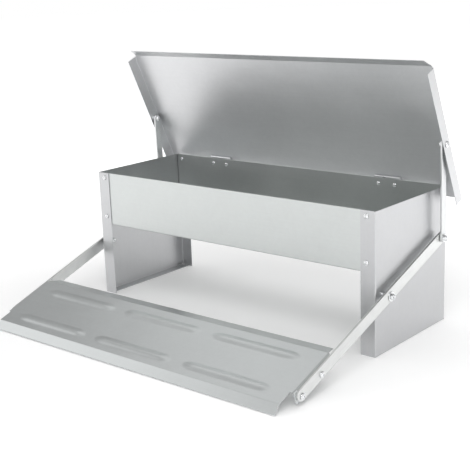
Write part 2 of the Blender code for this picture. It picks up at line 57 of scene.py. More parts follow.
# Lid and treadle, beside what the CAD nodes say
LID_LIP = 0.018
LIP_ANGLE = math.radians(36)
LIP_TAPER = 0.006
LID_LIP_GAP = 0.0035
STEP_LIP_ANGLE = math.radians(33)
STEP_LIP = 0.018
STRIP = 0.025
STRIP_ANGLE = math.radians(27)
STRIP_MITRE = 0.008
STEP_LENGTH = 0.118
STEP_FLANGE_LENGTH = 0.092
STEP_NOTCH = 0.006
STEP_HEIGHT = 0.015
HEM = 0.009
HEM_RADIUS = 0.0007
HEM_TURN = SHEET + HEM_RADIUS * 0.1
HEM_STEPS = 8
RIB_LENGTH = 0.170
RIB_WIDTH = 0.021
RIB_HEIGHT = 0.0020
RIB_RUN_OUT = 2.4
RIB_STRAIGHT = (RIB_LENGTH - RIB_WIDTH * RIB_RUN_OUT) / 2
RIB_PITCH = 0.190
RIB_COLUMNS = (-1, 0, 1)
RIB_ROWS = (0.024, 0.097)
RIB_END_STEPS = 14
RIB_ROW_STEPS = 8
TREADLE_STEP = 0.012

# Side panels
POST_FLANGE = 0.027
REAR_FLANGE = 0.025
FOOT_FLANGE = 0.018
FOOT_INSET = 0.004

# Bars, hinges and fasteners
BAR_BEVEL = 0.00045
HOLE_CLEARANCE = 0.0003
BOLT_RADIUS = 0.0025
LEAF_BEVEL = 0.00015
SMOOTH_BEVEL_ANGLE = math.radians(50)
NORMAL_WEIGHT = 60
SPIN_STEPS = 48
SHARP_ANGLE = math.radians(35)
WELD_DISTANCE = 0.000005
CHAMFER = 0.0003
THREAD_PITCH = 0.0007
THREAD_DEPTH = 0.0003
THREAD_CREST = (0.15, 0.35)
THREAD_ROOT = (0.75, 0.9)
SCREW_HEAD = 0.0022
RIVET_HEAD = 0.0014
BOLT_HEAD = 0.0028
WASHER = 0.0012
SOCKET_RADIUS = 0.0018
CROSS_ARM = 0.0021
CROSS_HALF_WIDTH = 0.00045

# Camera: the angles that it looks along, and where it stands
CAMERA_AZIMUTH = math.radians(40.35)
CAMERA_ELEVATION = math.radians(14.76)
CAMERA_ROLL = math.radians(-2.1)
CAMERA_PLACE = Vector((1.0778, -1.2259, 0.5847))
CAMERA_LENS = 77.3
CAMERA_SENSOR = 36

# Studio: how bright the room is, the shares of it left overhead and on the dark side (behind on the
# left), and the floor's glow
ROOM_LIGHT = 0.80
TOP_LIGHT = 0.46
DARK_SIDE = (-0.6, 0.8, 0)
DARK_SIDE_LIGHT = 0.55
FLOOR_RADIUS = 14
FLOOR_GLOW = (0.12, 0.59)

# Where they change: how far a direction points up or to the dark side, and metres from the middle
TOP_RANGE = (0.25, 0.85)
DARK_RANGE = (0.2, 0.9)
FLOOR_GLOW_RANGE = (0.35, 1.3)

# Lamps: name, place, what it points at, diameter, power in watts, whether the metal mirrors it
LAMPS = (
    ("key", (1.2, -1.5, 2.1), (0, 0, 0.15), 1.8, 27, True),
    ("sheen", (-1.3, 0.6, 2.4), (0, 0, 0.1), 1.8, 5, True),
    ("front", (-1.8, -1.1, 1.4), (0, -0.2, 0.1), 1.6, 4, True),
    ("overhead", (0.3, 1.1, 2.3), (0, 0, 0), 1.9, 20, False),
)

# Galvanised sheet: the scale of each pattern, how far the crystals' edges are warped, and the depths
# of the bumps in metres
SPANGLE = 170
SPANGLE_WARP = 0.006
CLOUDS = 7
STREAKS = 420
SMUDGES = 32
GRAIN = 2600
BUCKLE = 6
STREAK_DEPTH = 0.000003
GRAIN_DEPTH = 0.000002
BUCKLE_DEPTH = 0.0012


# ---------------------------------------------------------------- spaces of the moving bodies

def joint(name):
    return next(j for j in frame["joints"] if j["name"] == name)


def node_points(node, space):
    inverse = space.inverted()
    return [inverse @ v.co for v in frame["nodes"][node].data.vertices]


def node_box(node, space):
    """Lowest and highest corner of a CAD node, in the given space."""
    points = node_points(node, space)
    return Vector(map(min, zip(*points))), Vector(map(max, zip(*points)))


def middle(node, space):
    low, high = node_box(node, space)
    return (low + high) / 2


def lever_slope():
    """How far the treadle's levers point down to the front, from the two bolts in one of them."""
    rear = middle("treadle_bolt_right_rear", Matrix())
    front = middle("treadle_bolt_right_front", Matrix())
    return math.atan2(rear.z - front.z, rear.y - front.y)


def space_at(joint_name, turn):
    place = Vector(joint(joint_name)["pos_m"])
    return Matrix.Translation(place) @ Matrix.Rotation(turn, 4, "X")


HOUSING = Matrix()
LID = space_at("lid_hinge", -math.radians(joint("lid_hinge")["range_deg"][1]))
LEVER = space_at("treadle_pivot", lever_slope())


# ---------------------------------------------------------------- materials

class Shader:
    """A procedural material on one Principled shader, with patterns in the object's coordinates."""

    def __init__(self, name, roughness, metallic=1.0):
        self.material = bpy.data.materials.new(name)
        self.material.use_nodes = True
        self.tree = self.material.node_tree
        self.shader = self.tree.nodes["Principled BSDF"]
        self.shader.inputs["Metallic"].default_value = metallic
        self.shader.inputs["Roughness"].default_value = roughness
        self.coordinates = self.node("ShaderNodeTexCoord").outputs["Object"]

    def node(self, kind, **settings):
        made = self.tree.nodes.new(kind)
        for key, value in settings.items():
            setattr(made, key, value)
        return made

    def link(self, source, target):
        self.tree.links.new(source, target)

    def stretched(self, stretch, turn):
        """The coordinates with the pattern drawn out along an axis, after a turn about X."""
        mapping = self.node("ShaderNodeMapping", vector_type="TEXTURE")
        mapping.inputs["Scale"].default_value = stretch
        mapping.inputs["Rotation"].default_value = (turn, 0, 0)
        self.link(self.coordinates, mapping.inputs["Vector"])
        return mapping.outputs["Vector"]

    def noise(self, scale, detail=2.0, stretch=(1, 1, 1), turn=0.0, distortion=0.0):
        made = self.node("ShaderNodeTexNoise")
        made.inputs["Scale"].default_value = scale
        made.inputs["Detail"].default_value = detail
        made.inputs["Distortion"].default_value = distortion
        self.link(self.stretched(stretch, turn), made.inputs["Vector"])
        return made.outputs["Fac"]

    def cells(self, scale):
        """One random value for each crystal of the zinc."""
        made = self.node("ShaderNodeTexVoronoi")
        made.inputs["Scale"].default_value = scale
        warp = self.node("ShaderNodeTexNoise")
        warp.inputs["Scale"].default_value = scale * 0.6
        self.link(self.coordinates, warp.inputs["Vector"])
        mixed = self.node("ShaderNodeVectorMath", operation="MULTIPLY_ADD")
        mixed.inputs[1].default_value = (SPANGLE_WARP, SPANGLE_WARP, SPANGLE_WARP)
        self.link(warp.outputs["Color"], mixed.inputs[0])
        self.link(self.coordinates, mixed.inputs[2])
        self.link(mixed.outputs[0], made.inputs["Vector"])
        value = self.node("ShaderNodeSeparateColor")
        self.link(made.outputs["Color"], value.inputs[0])
        return value.outputs[0]

    def spread(self, source, low, high):
        """The source's 0.25 to 0.75 drawn out to low to high."""
        made = self.node("ShaderNodeMapRange")
        made.inputs["From Min"].default_value = 0.25
        made.inputs["From Max"].default_value = 0.75
        made.inputs["To Min"].default_value = low
        made.inputs["To Max"].default_value = high
        self.link(source, made.inputs["Value"])
        return made.outputs["Result"]

    def total(self, *values):
        total = values[0]
        for value in values[1:]:
            added = self.node("ShaderNodeMath", operation="ADD")
            self.link(total, added.inputs[0])
            self.link(value, added.inputs[1])
            total = added.outputs[0]
        return total

    def colour(self, dark, light, share):
        """The base colour runs from dark to light with share."""
        ramp = self.node("ShaderNodeMix", data_type="RGBA")
        ramp.inputs["A"].default_value = (*dark, 1)
        ramp.inputs["B"].default_value = (*light, 1)
        self.link(share, ramp.inputs["Factor"])
        self.link(ramp.outputs["Result"], self.shader.inputs["Base Color"])

    def roughness(self, value):
        self.link(value, self.shader.inputs["Roughness"])

    def bump(self, *layers):
        """Layers of (height, distance in metres), the coarsest first."""
        normal = None
        for height, distance in layers:
            made = self.node("ShaderNodeBump")
            made.inputs["Distance"].default_value = distance
            self.link(height, made.inputs["Height"])
            if normal is not None:
                self.link(normal, made.inputs["Normal"])
            normal = made.outputs["Normal"]
        self.link(normal, self.shader.inputs["Normal"])


def galvanised(name, dark, light, roughness, rolled):
    """Skin-passed galvanised sheet: faint spangle, rolling streaks along one axis, soft clouds."""
    shader = Shader(name, roughness)
    spangle = shader.cells(SPANGLE)
    clouds = shader.noise(CLOUDS, 2.0, distortion=0.6)
    streaks = shader.noise(STREAKS, 2.0, rolled)
    smudges = shader.noise(SMUDGES, 4.0)
    grain = shader.noise(GRAIN, 2.0)
    tone = shader.total(
        shader.spread(clouds, 0.15, 0.55),
        shader.spread(spangle, 0.0, 0.10),
        shader.spread(streaks, 0.0, 0.16),
        shader.spread(smudges, 0.0, 0.10),
    )
    shader.colour(dark, light, tone)
    shader.roughness(
        shader.total(
            shader.spread(clouds, roughness - 0.04, roughness + 0.02),
            shader.spread(spangle, -0.008, 0.008),
            shader.spread(streaks, -0.02, 0.02),
        )
    )
    buckle = shader.noise(BUCKLE, 1.0)
    shader.bump((buckle, BUCKLE_DEPTH), (streaks, STREAK_DEPTH), (grain, GRAIN_DEPTH))
    return shader.material


def sheared_edge(name, dark, light):
    """The cut edge of the sheet: zinc dragged over steel in fine marks."""
    shader = Shader(name, 0.45)
    marks = shader.noise(1800, 3.0)
    bands = shader.noise(160, 2.0)
    tone = shader.total(shader.spread(marks, 0.0, 0.5), shader.spread(bands, 0.0, 0.5))
    shader.colour(dark, light, tone)
    shader.roughness(shader.spread(marks, 0.36, 0.56))
    shader.bump((marks, 0.00002))
    return shader.material


def plated(name, dark, light, roughness, brushed=(1, 1, 1), turn=0.0):
    """Bright zinc plating over steel, brushed along one axis where the metal was rolled."""
    shader = Shader(name, roughness)
    brush = shader.noise(900, 3.0, brushed, turn)
    patches = shader.noise(60, 3.0, distortion=0.5)
    pits = shader.noise(2200, 2.0)
    tone = shader.total(shader.spread(brush, 0.0, 0.45), shader.spread(patches, 0.05, 0.5))
    shader.colour(dark, light, tone)
    shader.roughness(
        shader.total(
            shader.spread(patches, roughness - 0.05, roughness + 0.04),
            shader.spread(brush, -0.03, 0.03),
        )
    )
    shader.bump((patches, 0.00006), (brush, 0.000006), (pits, 0.000003))
    return shader.material


def nylon(name):
    """The insert of a lock nut: milky plastic with a fine moulded grain."""
    shader = Shader(name, 0.42, metallic=0.0)
    haze = shader.noise(700, 3.0)
    shader.colour((0.62, 0.64, 0.66), (0.78, 0.80, 0.82), shader.spread(haze, 0.1, 0.9))
    shader.roughness(shader.spread(haze, 0.36, 0.48))
    shader.bump((haze, 0.00003))
    shader.shader.inputs["Subsurface Weight"].default_value = 0.05
    return shader.material


ALONG_X = (50, 1, 1)
ALONG_Y = (1, 50, 1)
ALONG_Z = (1, 1, 50)
# The front, side, lid and treadle are all one galvanised sheet, whose brightness is set part by part
# to stand in for how the light falls on each: the side is darker as painted shade, the lid is
# lighter as painted light, and the front and treadle lie between them.
FRONT_SHEET = galvanised(
    "galvanised_front", (0.59, 0.61, 0.605), (0.69, 0.715, 0.705), 0.40, ALONG_X
)
# The side sheet's darker colour is painted shade.
SIDE_SHEET_PAINTED_SHADE = galvanised("galvanised_side", (0.54, 0.545, 0.555), (0.625, 0.63, 0.64), 0.36, ALONG_Z)
# The lid sheet's lighter colour is painted light.
LID_SHEET_PAINTED_LIGHT = galvanised("galvanised_lid", (0.67, 0.675, 0.685), (0.79, 0.795, 0.805), 0.42, ALONG_X)
STEP_SHEET = galvanised(
    "galvanised_treadle", (0.60, 0.62, 0.62), (0.70, 0.725, 0.725), 0.37, ALONG_X
)
SHEET_EDGE = sheared_edge("sheet_edge", (0.50, 0.51, 0.52), (0.74, 0.75, 0.76))
BAR_ZINC = plated("bar_zinc", (0.72, 0.73, 0.725), (0.85, 0.86, 0.85), 0.36, ALONG_Y, lever_slope())
ROD_ZINC = plated("rod_zinc", (0.70, 0.71, 0.715), (0.82, 0.83, 0.83), 0.36, ALONG_Z)
HINGE_ZINC = plated("hinge_zinc", (0.64, 0.65, 0.66), (0.78, 0.79, 0.80), 0.32, ALONG_X)
BRIGHT_ZINC = plated("bright_zinc", (0.80, 0.81, 0.82), (0.93, 0.94, 0.95), 0.22)
NYLON = nylon("nylon_insert")


# ---------------------------------------------------------------- mesh helpers

def shown(name, bm, materials, space, body, node):
    """Turns a bmesh, drawn in a body's space, into a piece that stands for a CAD node."""
    bm.transform(space)
    mesh = bpy.data.meshes.new(name)
    bm.to_mesh(mesh)
    bm.free()
    for material in materials:
        mesh.materials.append(material)
    mesh.shade_smooth()
    thing = bpy.data.objects.new(name, mesh)
    bpy.context.scene.collection.objects.link(thing)
    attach(thing, body)
    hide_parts(node)
    return thing


def solid_piece(name, bm, materials, space, body, node):
    bmesh.ops.recalc_face_normals(bm, faces=bm.faces)
    thing = shown(name, bm, materials, space, body, node)
    thing.data.set_sharp_from_angle(angle=SHARP_ANGLE)
    return thing


def soften(thing, width, segments=2):
    """Rounds the hard edges a little, so that they catch the light."""
    bevel = thing.modifiers.new("edges", "BEVEL")
    bevel.width = width
    bevel.segments = segments
    bevel.limit_method = "ANGLE"
    bevel.angle_limit = SMOOTH_BEVEL_ANGLE
    weld = thing.modifiers.new("weld", "WELD")
    weld.merge_threshold = WELD_DISTANCE
    normals = thing.modifiers.new("normals", "WEIGHTED_NORMAL")
    normals.keep_sharp = False
    normals.weight = NORMAL_WEIGHT


def arc_corner(before, corner, after, radius, steps):
    """The arc that rounds a corner of a path."""
    back = (before - corner).normalized()
    ahead = (after - corner).normalized()
    half = back.angle(ahead) / 2
    centre = corner + (back + ahead).normalized() * radius / math.sin(half)
    start = corner + back * radius / math.tan(half) - centre
    end = corner + ahead * radius / math.tan(half) - centre
    return [centre + start.slerp(end, k / steps) * radius for k in range(steps + 1)]


def rounded_path(points, radius, steps=BEND_STEPS):
    points = [Vector(p) for p in points]
    out = [points[0]]
    for before, corner, after in zip(points, points[1:], points[2:]):
        out += arc_corner(before, corner, after, radius, steps)
    return out + [points[-1]]


def filled_path(path, step):
    """The path with points added along its long straight stretches."""
    out = [path[0]]
    for start, end in zip(path, path[1:]):
        count = max(1, round((end - start).length / step))
        out += [start.lerp(end, k / count) for k in range(1, count + 1)]
    return out


def thicken(thing, thickness=SHEET):
    solid = thing.modifiers.new("sheet", "SOLIDIFY")
    solid.thickness = thickness
    solid.offset = -1
    solid.use_even_offset = True
    solid.use_rim = True
    solid.material_offset_rim = 1


def grid_sheet(across, along, keep, place):
    """A bmesh of the cells that keep() wants; place() puts the corner of column i and row j."""
    bm = bmesh.new()
    made = {}

    def corner(i, j, cell):
        key, where = place(i, j, cell)
        if key not in made:
            made[key] = bm.verts.new(where)
        return made[key]

    for i in range(len(across) - 1):
        for j in range(len(along) - 1):
            if keep(i, j):
                cell = (i, j)
                around = ((0, 0), (1, 0), (1, 1), (0, 1))
                bm.faces.new([corner(i + a, j + b, cell) for a, b in around])
    return bm


def sheet_piece(name, bm, facing, material, space, body, node):
    """A folded sheet: its outer face looks along facing, and its metal lies behind that face."""
    bmesh.ops.recalc_face_normals(bm, faces=bm.faces)
    bm.normal_update()
    if sum(face.normal.dot(Vector(facing)) * face.calc_area() for face in bm.faces) < 0:
        bmesh.ops.reverse_faces(bm, faces=bm.faces)
    thing = shown(name, bm, [material, SHEET_EDGE], space, body, node)
    thicken(thing)
    soften(thing, EDGE_BEVEL)


# ---------------------------------------------------------------- sheet-metal pieces

def trough():
    """Front wall, floor and back wall from one sheet, with a rounded bend at each corner."""
    low, high = node_box("trough", HOUSING)
    corners = [(low.y, high.z), (low.y, low.z), (high.y, low.z), (high.y, high.z)]
    path = filled_path(rounded_path(corners, BEND), PANEL_STEP)
    columns = filled_path([Vector((low.x, 0)), Vector((high.x, 0))], PANEL_STEP)

    def place(i, j, _cell):
        return (i, j), (columns[i].x, path[j].x, path[j].y)

    bm = grid_sheet(columns, path, lambda i, j: True, place)
    sheet_piece(
        "trough_sheet", bm, (0, 0, -1), FRONT_SHEET, HOUSING, "housing", "trough"
    )


def panel_plan(side, outer, low, high):
    """The panel's outline from above with its two bends, and where the foot's fold runs."""
    plan = rounded_path(
        [
            (outer - side * POST_FLANGE, low.y),
            (outer, low.y),
            (outer, high.y),
            (outer - side * REAR_FLANGE, high.y),
        ],
        BEND,
    )
    ends = (low.y + FOOT_INSET, high.y - FOOT_INSET)
    fold = [Vector((outer, y)) for y in ends]
    split = len(plan) // 2
    return filled_path(plan[:split] + fold + plan[split:], PANEL_STEP), ends


def side_panel(side, label):
    """An end of the housing: post flange, side, rear flange, and a foot flange folded under.

    A small relief notch at each end of the foot's fold parts it from the upright flanges.
    """
    node = "side_panel_" + label
    low, high = node_box(node, HOUSING)
    outer = high.x if side > 0 else low.x
    plan, ends = panel_plan(side, outer, low, high)
    foot = rounded_path([(FOOT_FLANGE, 0), (0, 0), (0, high.z)], BEND)
    rows = filled_path(foot, PANEL_STEP)
    bend_top = min(k for k, row in enumerate(rows) if row.x == 0 and row.y > 0)

    def on_side(i):
        return abs(plan[i].x - outer) < NEAR

    def at_fold(i):
        return on_side(i) and ends[0] - NEAR < plan[i].y < ends[1] + NEAR

    def folded(cell):
        return at_fold(cell[0]) and at_fold(cell[0] + 1)

    def keep(i, j):
        if j >= bend_top or folded((i, j)):
            return True
        beside_the_fold = on_side(i) and on_side(i + 1)
        return rows[j + 1].y > HAIR and not beside_the_fold

    def place(i, j, cell):
        x, y = plan[i]
        if j >= bend_top:
            return (i, j), (x, y, rows[j].y)
        inward = rows[j].x if folded(cell) else 0.0
        return (i, j, folded(cell)), (x - side * inward, y, rows[j].y)

    bm = grid_sheet(plan, rows, keep, place)
    sheet_piece(
        node + "_sheet", bm, (side, 0, 0), SIDE_SHEET_PAINTED_SHADE, HOUSING, "housing", node
    )


def plate_columns(half, top, drop, extra):
    """The profile across a plate with a flange down each side, with points added at extra."""
    path = rounded_path([(-half, top - drop), (-half, top), (half, top), (half, top - drop)], BEND)
    first, last = path[:BEND_STEPS + 2], path[BEND_STEPS + 2:]
    start, end = first[-1].x + LINE_CLEARANCE, last[0].x - LINE_CLEARANCE
    lines = sorted(x for x in extra if start < x < end)
    plate = [first[-1]] + [Vector((x, top)) for x in lines] + [last[0]]
    return first[:-1] + filled_path(plate, PANEL_STEP) + last[1:]


def lid():
    """The lid, drawn as it lies when it is shut: plate, a flange down each side and a front lip."""
    low, high = node_box("lid", LID)
    top = high.z
    front = low.y + LID_LIP * math.cos(LIP_ANGLE)
    flange_end = front + LID_LIP_GAP
    columns = plate_columns(high.x, top, top - low.z, [])
    end = Vector((low.y, top - LID_LIP * math.sin(LIP_ANGLE)))
    rows = rounded_path([(high.y, top), (front, top), end], BEND)
    rows = filled_path([rows[0], Vector((flange_end, top))] + rows[1:], PANEL_STEP)

    def keep(i, j):
        flange = min(columns[i].y, columns[i + 1].y) < top - HAIR
        return not flange or rows[j + 1].x > flange_end - HAIR

    def place(i, j, _cell):
        x, across_z = columns[i]
        y, along_z = rows[j]
        taper = max(0.0, flange_end - y) / (flange_end - end.x)
        x -= math.copysign(LIP_TAPER * taper, x) * min(1.0, abs(x) / high.x)
        return (i, j), (x, y, across_z + along_z - top)

    bm = grid_sheet(columns, rows, keep, place)
    sheet_piece("lid_sheet", bm, (0, 0, 1), LID_SHEET_PAINTED_LIGHT, LID, "lid", "lid")


def rib_centres(rear):
    return [(column * RIB_PITCH, rear - row) for row in RIB_ROWS for column in RIB_COLUMNS]


def rib_height(x, y, centres):
    """Height of the pressed ribs above the plate: a round bead that runs out at its ends."""
    height = 0.0
    for cx, cy in centres:
        along = max(0.0, abs(x - cx) - RIB_STRAIGHT) / RIB_RUN_OUT
        away = math.hypot(along, y - cy) / (RIB_WIDTH / 2)
        if away < 1:
            height = max(height, RIB_HEIGHT * (1 - away**2) ** 2)
    return height


def rib_end_columns():
    """Places across the treadle, close together where the ribs run out."""
    reach = RIB_WIDTH / 2
    xs = []
    for column in RIB_COLUMNS:
        for end in (-1, 1):
            start = column * RIB_PITCH + end * RIB_STRAIGHT
            steps = range(RIB_END_STEPS + 1)
            xs += [start + end * RIB_RUN_OUT * reach * k / RIB_END_STEPS for k in steps]
    return xs


def plate_rows(rear, notch, top):
    """Points along the treadle's plate from the rear: close over the ribs, and one at the notch."""
    reach = RIB_WIDTH / 2
    steps = range(-RIB_ROW_STEPS, RIB_ROW_STEPS + 1)
    points = [Vector((notch, top))]
    for row in RIB_ROWS:
        points += [Vector((rear - row + reach * k / RIB_ROW_STEPS, top)) for k in steps]
    return sorted(points, key=lambda point: -point.x)


def hem(lip_end, lip_run):
    """The lip's edge turned back under it: half a turn, then a straight stretch."""
    under = Vector((math.sin(STEP_LIP_ANGLE), -math.cos(STEP_LIP_ANGLE)))
    centre = lip_end + under * HEM_TURN
    angles = [math.pi * k / HEM_STEPS for k in range(1, HEM_STEPS + 1)]
    points = [centre + (lip_run * math.sin(a) - under * math.cos(a)) * HEM_TURN for a in angles]
    return points + [points[-1] - lip_run * HEM]


def treadle():
    """The plate that the bird stands on: ribs, bent rear strip, hemmed lip and side flanges."""
    high = node_box("treadle", LEVER)[1]
    rear = high.y - STRIP * math.cos(STRIP_ANGLE)
    front = rear - STEP_LENGTH
    notch = rear - STEP_FLANGE_LENGTH
    half = high.x
    narrow = half - STEP_NOTCH
    top = STEP_HEIGHT
    flange = [p for p in node_points("treadle", LEVER) if p.y > notch and abs(p.x) > narrow]
    drop = top - min(p.z for p in flange)
    centres = rib_centres(rear)
    columns = plate_columns(half, top, drop, [-narrow, narrow] + rib_end_columns())

    lip_run = Vector((-math.cos(STEP_LIP_ANGLE), -math.sin(STEP_LIP_ANGLE)))
    lip_end = Vector((front, top)) + lip_run * (STEP_LIP - 2 * HEM_RADIUS - SHEET)
    strip_end = (rear + STRIP * math.cos(STRIP_ANGLE), top - STRIP * math.sin(STRIP_ANGLE))
    outline = rounded_path([strip_end, (rear, top), (front, top), lip_end], BEND)
    first_bend, rest = outline[:BEND_STEPS + 2], outline[BEND_STEPS + 2:]
    rows = filled_path(first_bend + plate_rows(rear, notch, top) + rest, TREADLE_STEP)
    rows += hem(lip_end, lip_run)

    def keep(i, j):
        outer = max(abs(columns[i].x), abs(columns[i + 1].x)) > narrow + NEAR
        if outer and rows[j + 1].x < notch - NEAR:
            return False
        on_flange = min(columns[i].y, columns[i + 1].y) < top - HAIR
        return not on_flange or rows[j].x <= rear + NEAR

    def place(i, j, _cell):
        x, across_z = columns[i]
        y, along_z = rows[j]
        if y > rear:
            mitre = STRIP_MITRE * (y - rear) / (strip_end[0] - rear)
            x -= math.copysign(mitre, x) * abs(x) / half
        return (i, j), (x, y, across_z + along_z - top + rib_height(x, y, centres))

    bm = grid_sheet(columns, rows, keep, place)
    sheet_piece(
        "treadle_sheet", bm, (0, 0, 1), STEP_SHEET, LEVER, "treadle", "treadle"
    )


# ---------------------------------------------------------------- bars

def circle(centre, radius, steps=SPIN_STEPS):
    angles = [2 * math.pi * k / steps for k in range(steps)]
    return [(centre[0] + radius * math.cos(a), centre[1] + radius * math.sin(a)) for a in angles]


def bar_outline(start, end, width, steps=20):
    """A bar with round ends about its two end centres, as a closed loop."""
    axis = math.atan2(end[1] - start[1], end[0] - start[0])
    loop = []
    for (y, z), facing in ((end, axis), (start, axis + math.pi)):
        for k in range(steps + 1):
            angle = facing - math.pi / 2 + math.pi * k / steps
            loop.append((y + width / 2 * math.cos(angle), z + width / 2 * math.sin(angle)))
    return loop


def plate_across_x(loops, low_x, high_x, rim=0.0008):
    """A closed plate across the X axis from an outline and its holes in (y, z).

    A rim of faces this wide runs along every edge, so that a bevel there meets no sliver triangles.
    """
    bm = bmesh.new()
    edges = []
    for loop in loops:
        points = [bm.verts.new((low_x, y, z)) for y, z in loop]
        edges += [bm.edges.new((a, b)) for a, b in zip(points, points[1:] + points[:1])]
    bmesh.ops.triangle_fill(bm, edges=edges, use_beauty=True)
    bmesh.ops.inset_region(
        bm, faces=bm.faces, thickness=rim, use_boundary=True, use_even_offset=True
    )
    made = bmesh.ops.extrude_face_region(bm, geom=list(bm.faces))
    moved = [v for v in made["geom"] if isinstance(v, bmesh.types.BMVert)]
    bmesh.ops.translate(bm, vec=(high_x - low_x, 0, 0), verts=moved)
    return bm


def lever_arm(label):
    """The flat bar beside the housing, with holes for pivot, link and the treadle's two bolts."""
    name = "lever_arm_" + label
    low, high = node_box(name, LEVER)
    width = high.z - low.z
    level = (high.z + low.z) / 2
    link = middle("lower_link_bolt_" + label, LEVER)
    bolts = [middle(f"treadle_bolt_{label}_{end}", LEVER) for end in ("rear", "front")]
    holes = [(0, 0), (link.y, link.z)] + [(bolt.y, bolt.z) for bolt in bolts]
    outline = bar_outline((low.y + width / 2, level), (high.y - width / 2, level), width)
    loops = [outline] + [circle(hole, BOLT_RADIUS + HOLE_CLEARANCE) for hole in holes]
    bm = plate_across_x(loops, low.x, high.x)
    thing = solid_piece(name + "_bar", bm, [BAR_ZINC], LEVER, "treadle", name)
    soften(thing, BAR_BEVEL, 3)


def push_rod(label):
    """The flat bar from the lever up to the lid, with a hole at each end."""
    name = "push_rod_" + label
    upper = middle("upper_link_bolt_" + label, HOUSING)
    lower = middle("lower_link_bolt_" + label, HOUSING)
    low, high = node_box(name, HOUSING)
    width = 2 * (high.z - upper.z)
    ends = [(lower.y, lower.z), (upper.y, upper.z)]
    holes = [circle(end, BOLT_RADIUS + HOLE_CLEARANCE) for end in ends]
    loops = [bar_outline(*ends, width)] + holes
    bm = plate_across_x(loops, low.x, high.x)
    thing = solid_piece(name + "_bar", bm, [ROD_ZINC], HOUSING, name, name)
    soften(thing, BAR_BEVEL, 3)


# ---------------------------------------------------------------- fasteners

def radius_at(radius, angle):
    return radius(angle) if callable(radius) else radius


def hexagon(corner, limit=1.0):
    """Radius of a hexagon at an angle, cut off at limit for the chamfer of a nut."""
    flat = corner * math.cos(math.pi / 6)

    def at(angle):
        away = (angle + math.pi / 6) % (math.pi / 3) - math.pi / 6
        return min(flat / math.cos(away), limit)

    return at


def cross(arm, half_width):
    """Radius of the cross-shaped recess of a screw at an angle."""

    def at(angle):
        away = abs((angle + math.pi / 4) % (math.pi / 2) - math.pi / 4)
        return arm if away < NEAR else min(arm, half_width / math.sin(away))

    return at


def spun(bm, profile, place, direction, material=0, steps=SPIN_STEPS):
    """Adds a solid about an axis: (radius, height) pairs from the top down, top along direction.

    A radius is a number or a function of the angle, and 0 closes the solid on its axis.
    """
    turn = Vector(direction).to_track_quat("Z", "Y").to_matrix().to_4x4()
    spin = Matrix.Translation(place) @ turn
    angles = [2 * math.pi * k / steps for k in range(steps)]
    rings = []
    for radius, height in profile:
        if radius == 0:
            rings.append([bm.verts.new(spin @ Vector((0, 0, height)))])
            continue
        ring = []
        for angle in angles:
            r = radius_at(radius, angle)
            point = Vector((r * math.cos(angle), r * math.sin(angle), height))
            ring.append(bm.verts.new(spin @ point))
        rings.append(ring)
    pairs = list(zip(rings, rings[1:]))
    if profile[0][0] != 0:
        pairs.append((rings[-1], rings[0]))
    for upper, lower in pairs:
        for k in range(steps):
            corners = [upper[k % len(upper)], upper[(k + 1) % len(upper)]]
            corners += [lower[(k + 1) % len(lower)], lower[k % len(lower)]]
            unique = list(dict.fromkeys(corners))
            if len(unique) > 2:
                bm.faces.new(unique).material_index = material


def dome(radius, height, rim, inner, steps=10):
    """Profile of a round head from its recess outwards: a dome that ends in an eased rim."""
    points = []
    for k in range(steps + 1):
        r = inner + (radius - inner) * math.sin(math.pi / 2 * k / steps)
        points.append((r, rim + (height - rim) * math.sqrt(max(0.0, 1 - (r / radius) ** 2))))
    return points + [(radius, rim * 0.3), (radius - rim * 0.3, 0)]


def threaded(radius, top, bottom):
    """Profile of a thread from top down to a chamfered end."""
    points = []
    height = top
    while height - THREAD_PITCH > bottom + THREAD_PITCH:
        points += [(radius, height - THREAD_PITCH * share) for share in THREAD_CREST]
        points += [(radius - THREAD_DEPTH, height - THREAD_PITCH * share) for share in THREAD_ROOT]
        height -= THREAD_PITCH
    end = radius - 2 * THREAD_DEPTH
    return points + [(radius, height), (radius, bottom + THREAD_DEPTH), (end, bottom), (0, bottom)]


def socket_head(radius, height):
    """A button head with a hexagon socket."""
    depth = height * 0.55
    rim = height * 0.22
    recess = [(0, height - depth), (hexagon(SOCKET_RADIUS * 0.92), height - depth)]
    recess.append((hexagon(SOCKET_RADIUS), height * 0.97))
    return recess + dome(radius, height, rim, SOCKET_RADIUS * 1.12)


def cross_head(radius, height):
    """A pan head with a cross recess."""
    depth = height * 0.6
    recess = [(0, height - depth), (cross(CROSS_ARM * 0.5, CROSS_HALF_WIDTH * 0.8), height - depth)]
    recess.append((cross(CROSS_ARM, CROSS_HALF_WIDTH), height * 0.96))
    return recess + dome(radius, height, height * 0.35, CROSS_ARM * 1.05)


def hex_nut(bm, place, direction, corner, height, bore, insert=False):
    """A hexagon nut that stands on place, chamfered at both ends, or with a nylon collar on top."""
    flat = corner * math.cos(math.pi / 6)
    body = height * 0.68 if insert else height
    ease = CHAMFER * 1.5
    bottom = [(hexagon(corner), ease), (hexagon(corner, flat * 1.02), 0), (bore, 0)]
    if insert:
        collar = flat * 0.92
        top = [(bore, height - CHAMFER * 3), (bore * 1.12, height - CHAMFER * 2)]
        top += [(collar * 0.80, height - CHAMFER * 2), (collar * 0.86, height)]
        top += [(collar * 0.95, height), (collar, height - CHAMFER)]
        top += [(collar, body + CHAMFER), (flat, body)]
        spun(bm, top + [(hexagon(corner), body - ease)] + bottom, place, direction)
        ring = [(collar * 0.79, height - CHAMFER * 1.5), (collar * 0.79, height - CHAMFER * 2.5)]
        ring += [(bore * 1.03, height - CHAMFER * 2.5), (bore * 1.03, height - CHAMFER * 1.5)]
        spun(bm, ring, place, direction, 1)
        return
    top = [(bore, height), (hexagon(corner, flat * 1.02), height), (hexagon(corner), height - ease)]
    spun(bm, top + bottom, place, direction)


